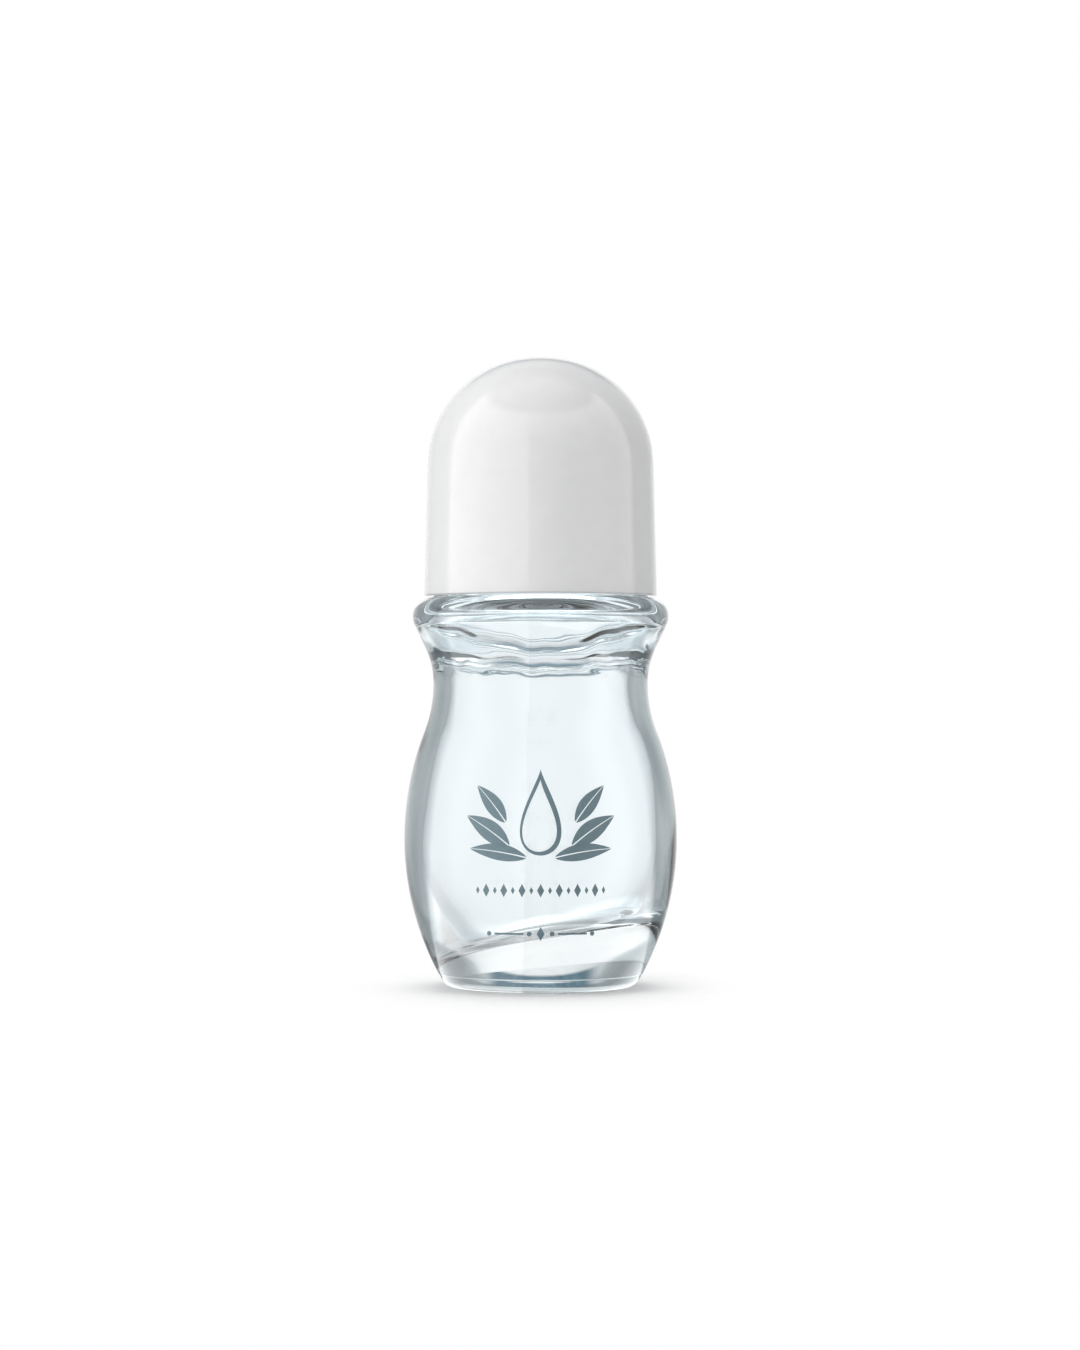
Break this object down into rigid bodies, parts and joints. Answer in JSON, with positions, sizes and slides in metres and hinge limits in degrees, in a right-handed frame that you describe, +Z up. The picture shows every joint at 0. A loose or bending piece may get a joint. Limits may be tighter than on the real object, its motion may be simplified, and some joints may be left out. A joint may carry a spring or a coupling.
{
  "type": "roll on bottle",
  "caption": "Waisted clear-glass roll-on bottle with a flared shoulder lip, a ball held in a plugged-in housing, and a domed white screw cap with a threaded insert.",
  "frame": {"origin": "centre of the bearing ring, on the plane that the bottle stands on", "axes": "+Z up along the axis of the bottle and cap, -Y towards the front that the picture shows"},
  "size_m": [0.0392, 0.0392, 0.0906],
  "materials": {
    "clear_glass": "clear, fire-polished, with a faint blue cast",
    "housing_plastic": "satin moulded",
    "ball_plastic": "smooth gloss",
    "cap_plastic": "smooth gloss white",
    "insert_plastic": "moulded matt",
    "pad_foam": "soft matt"
  },
  "bodies": {
    "bottle": {"glass_bottle": "clear_glass", "ball_housing": "housing_plastic"},
    "ball": {"roller_ball": "ball_plastic"},
    "pad": {"cap_pad": "pad_foam"},
    "cap": {"cap_shell": "cap_plastic", "cap_insert": "insert_plastic"}
  },
  "joints": [
    {"name": "ball_roll", "type": "hinge", "parent": "bottle", "child": "ball", "pos_m": [0, 0, 0.0738], "axis": [1, 0, 0], "continuous": true},
    {"name": "cap_lift", "type": "slide", "parent": "bottle", "child": "pad", "axis": [0, 0, 1], "range_m": [0, 0.0321]},
    {"name": "cap_turn", "type": "hinge", "parent": "pad", "child": "cap", "pos_m": [0, 0, 0.0738], "axis": [0, 0, 1], "range_deg": [0, 2880]}
  ],
  "couplings": [
    {"joint": "cap_lift", "follows": "cap_turn", "m_per_rad": 0.00063662}
  ]
}
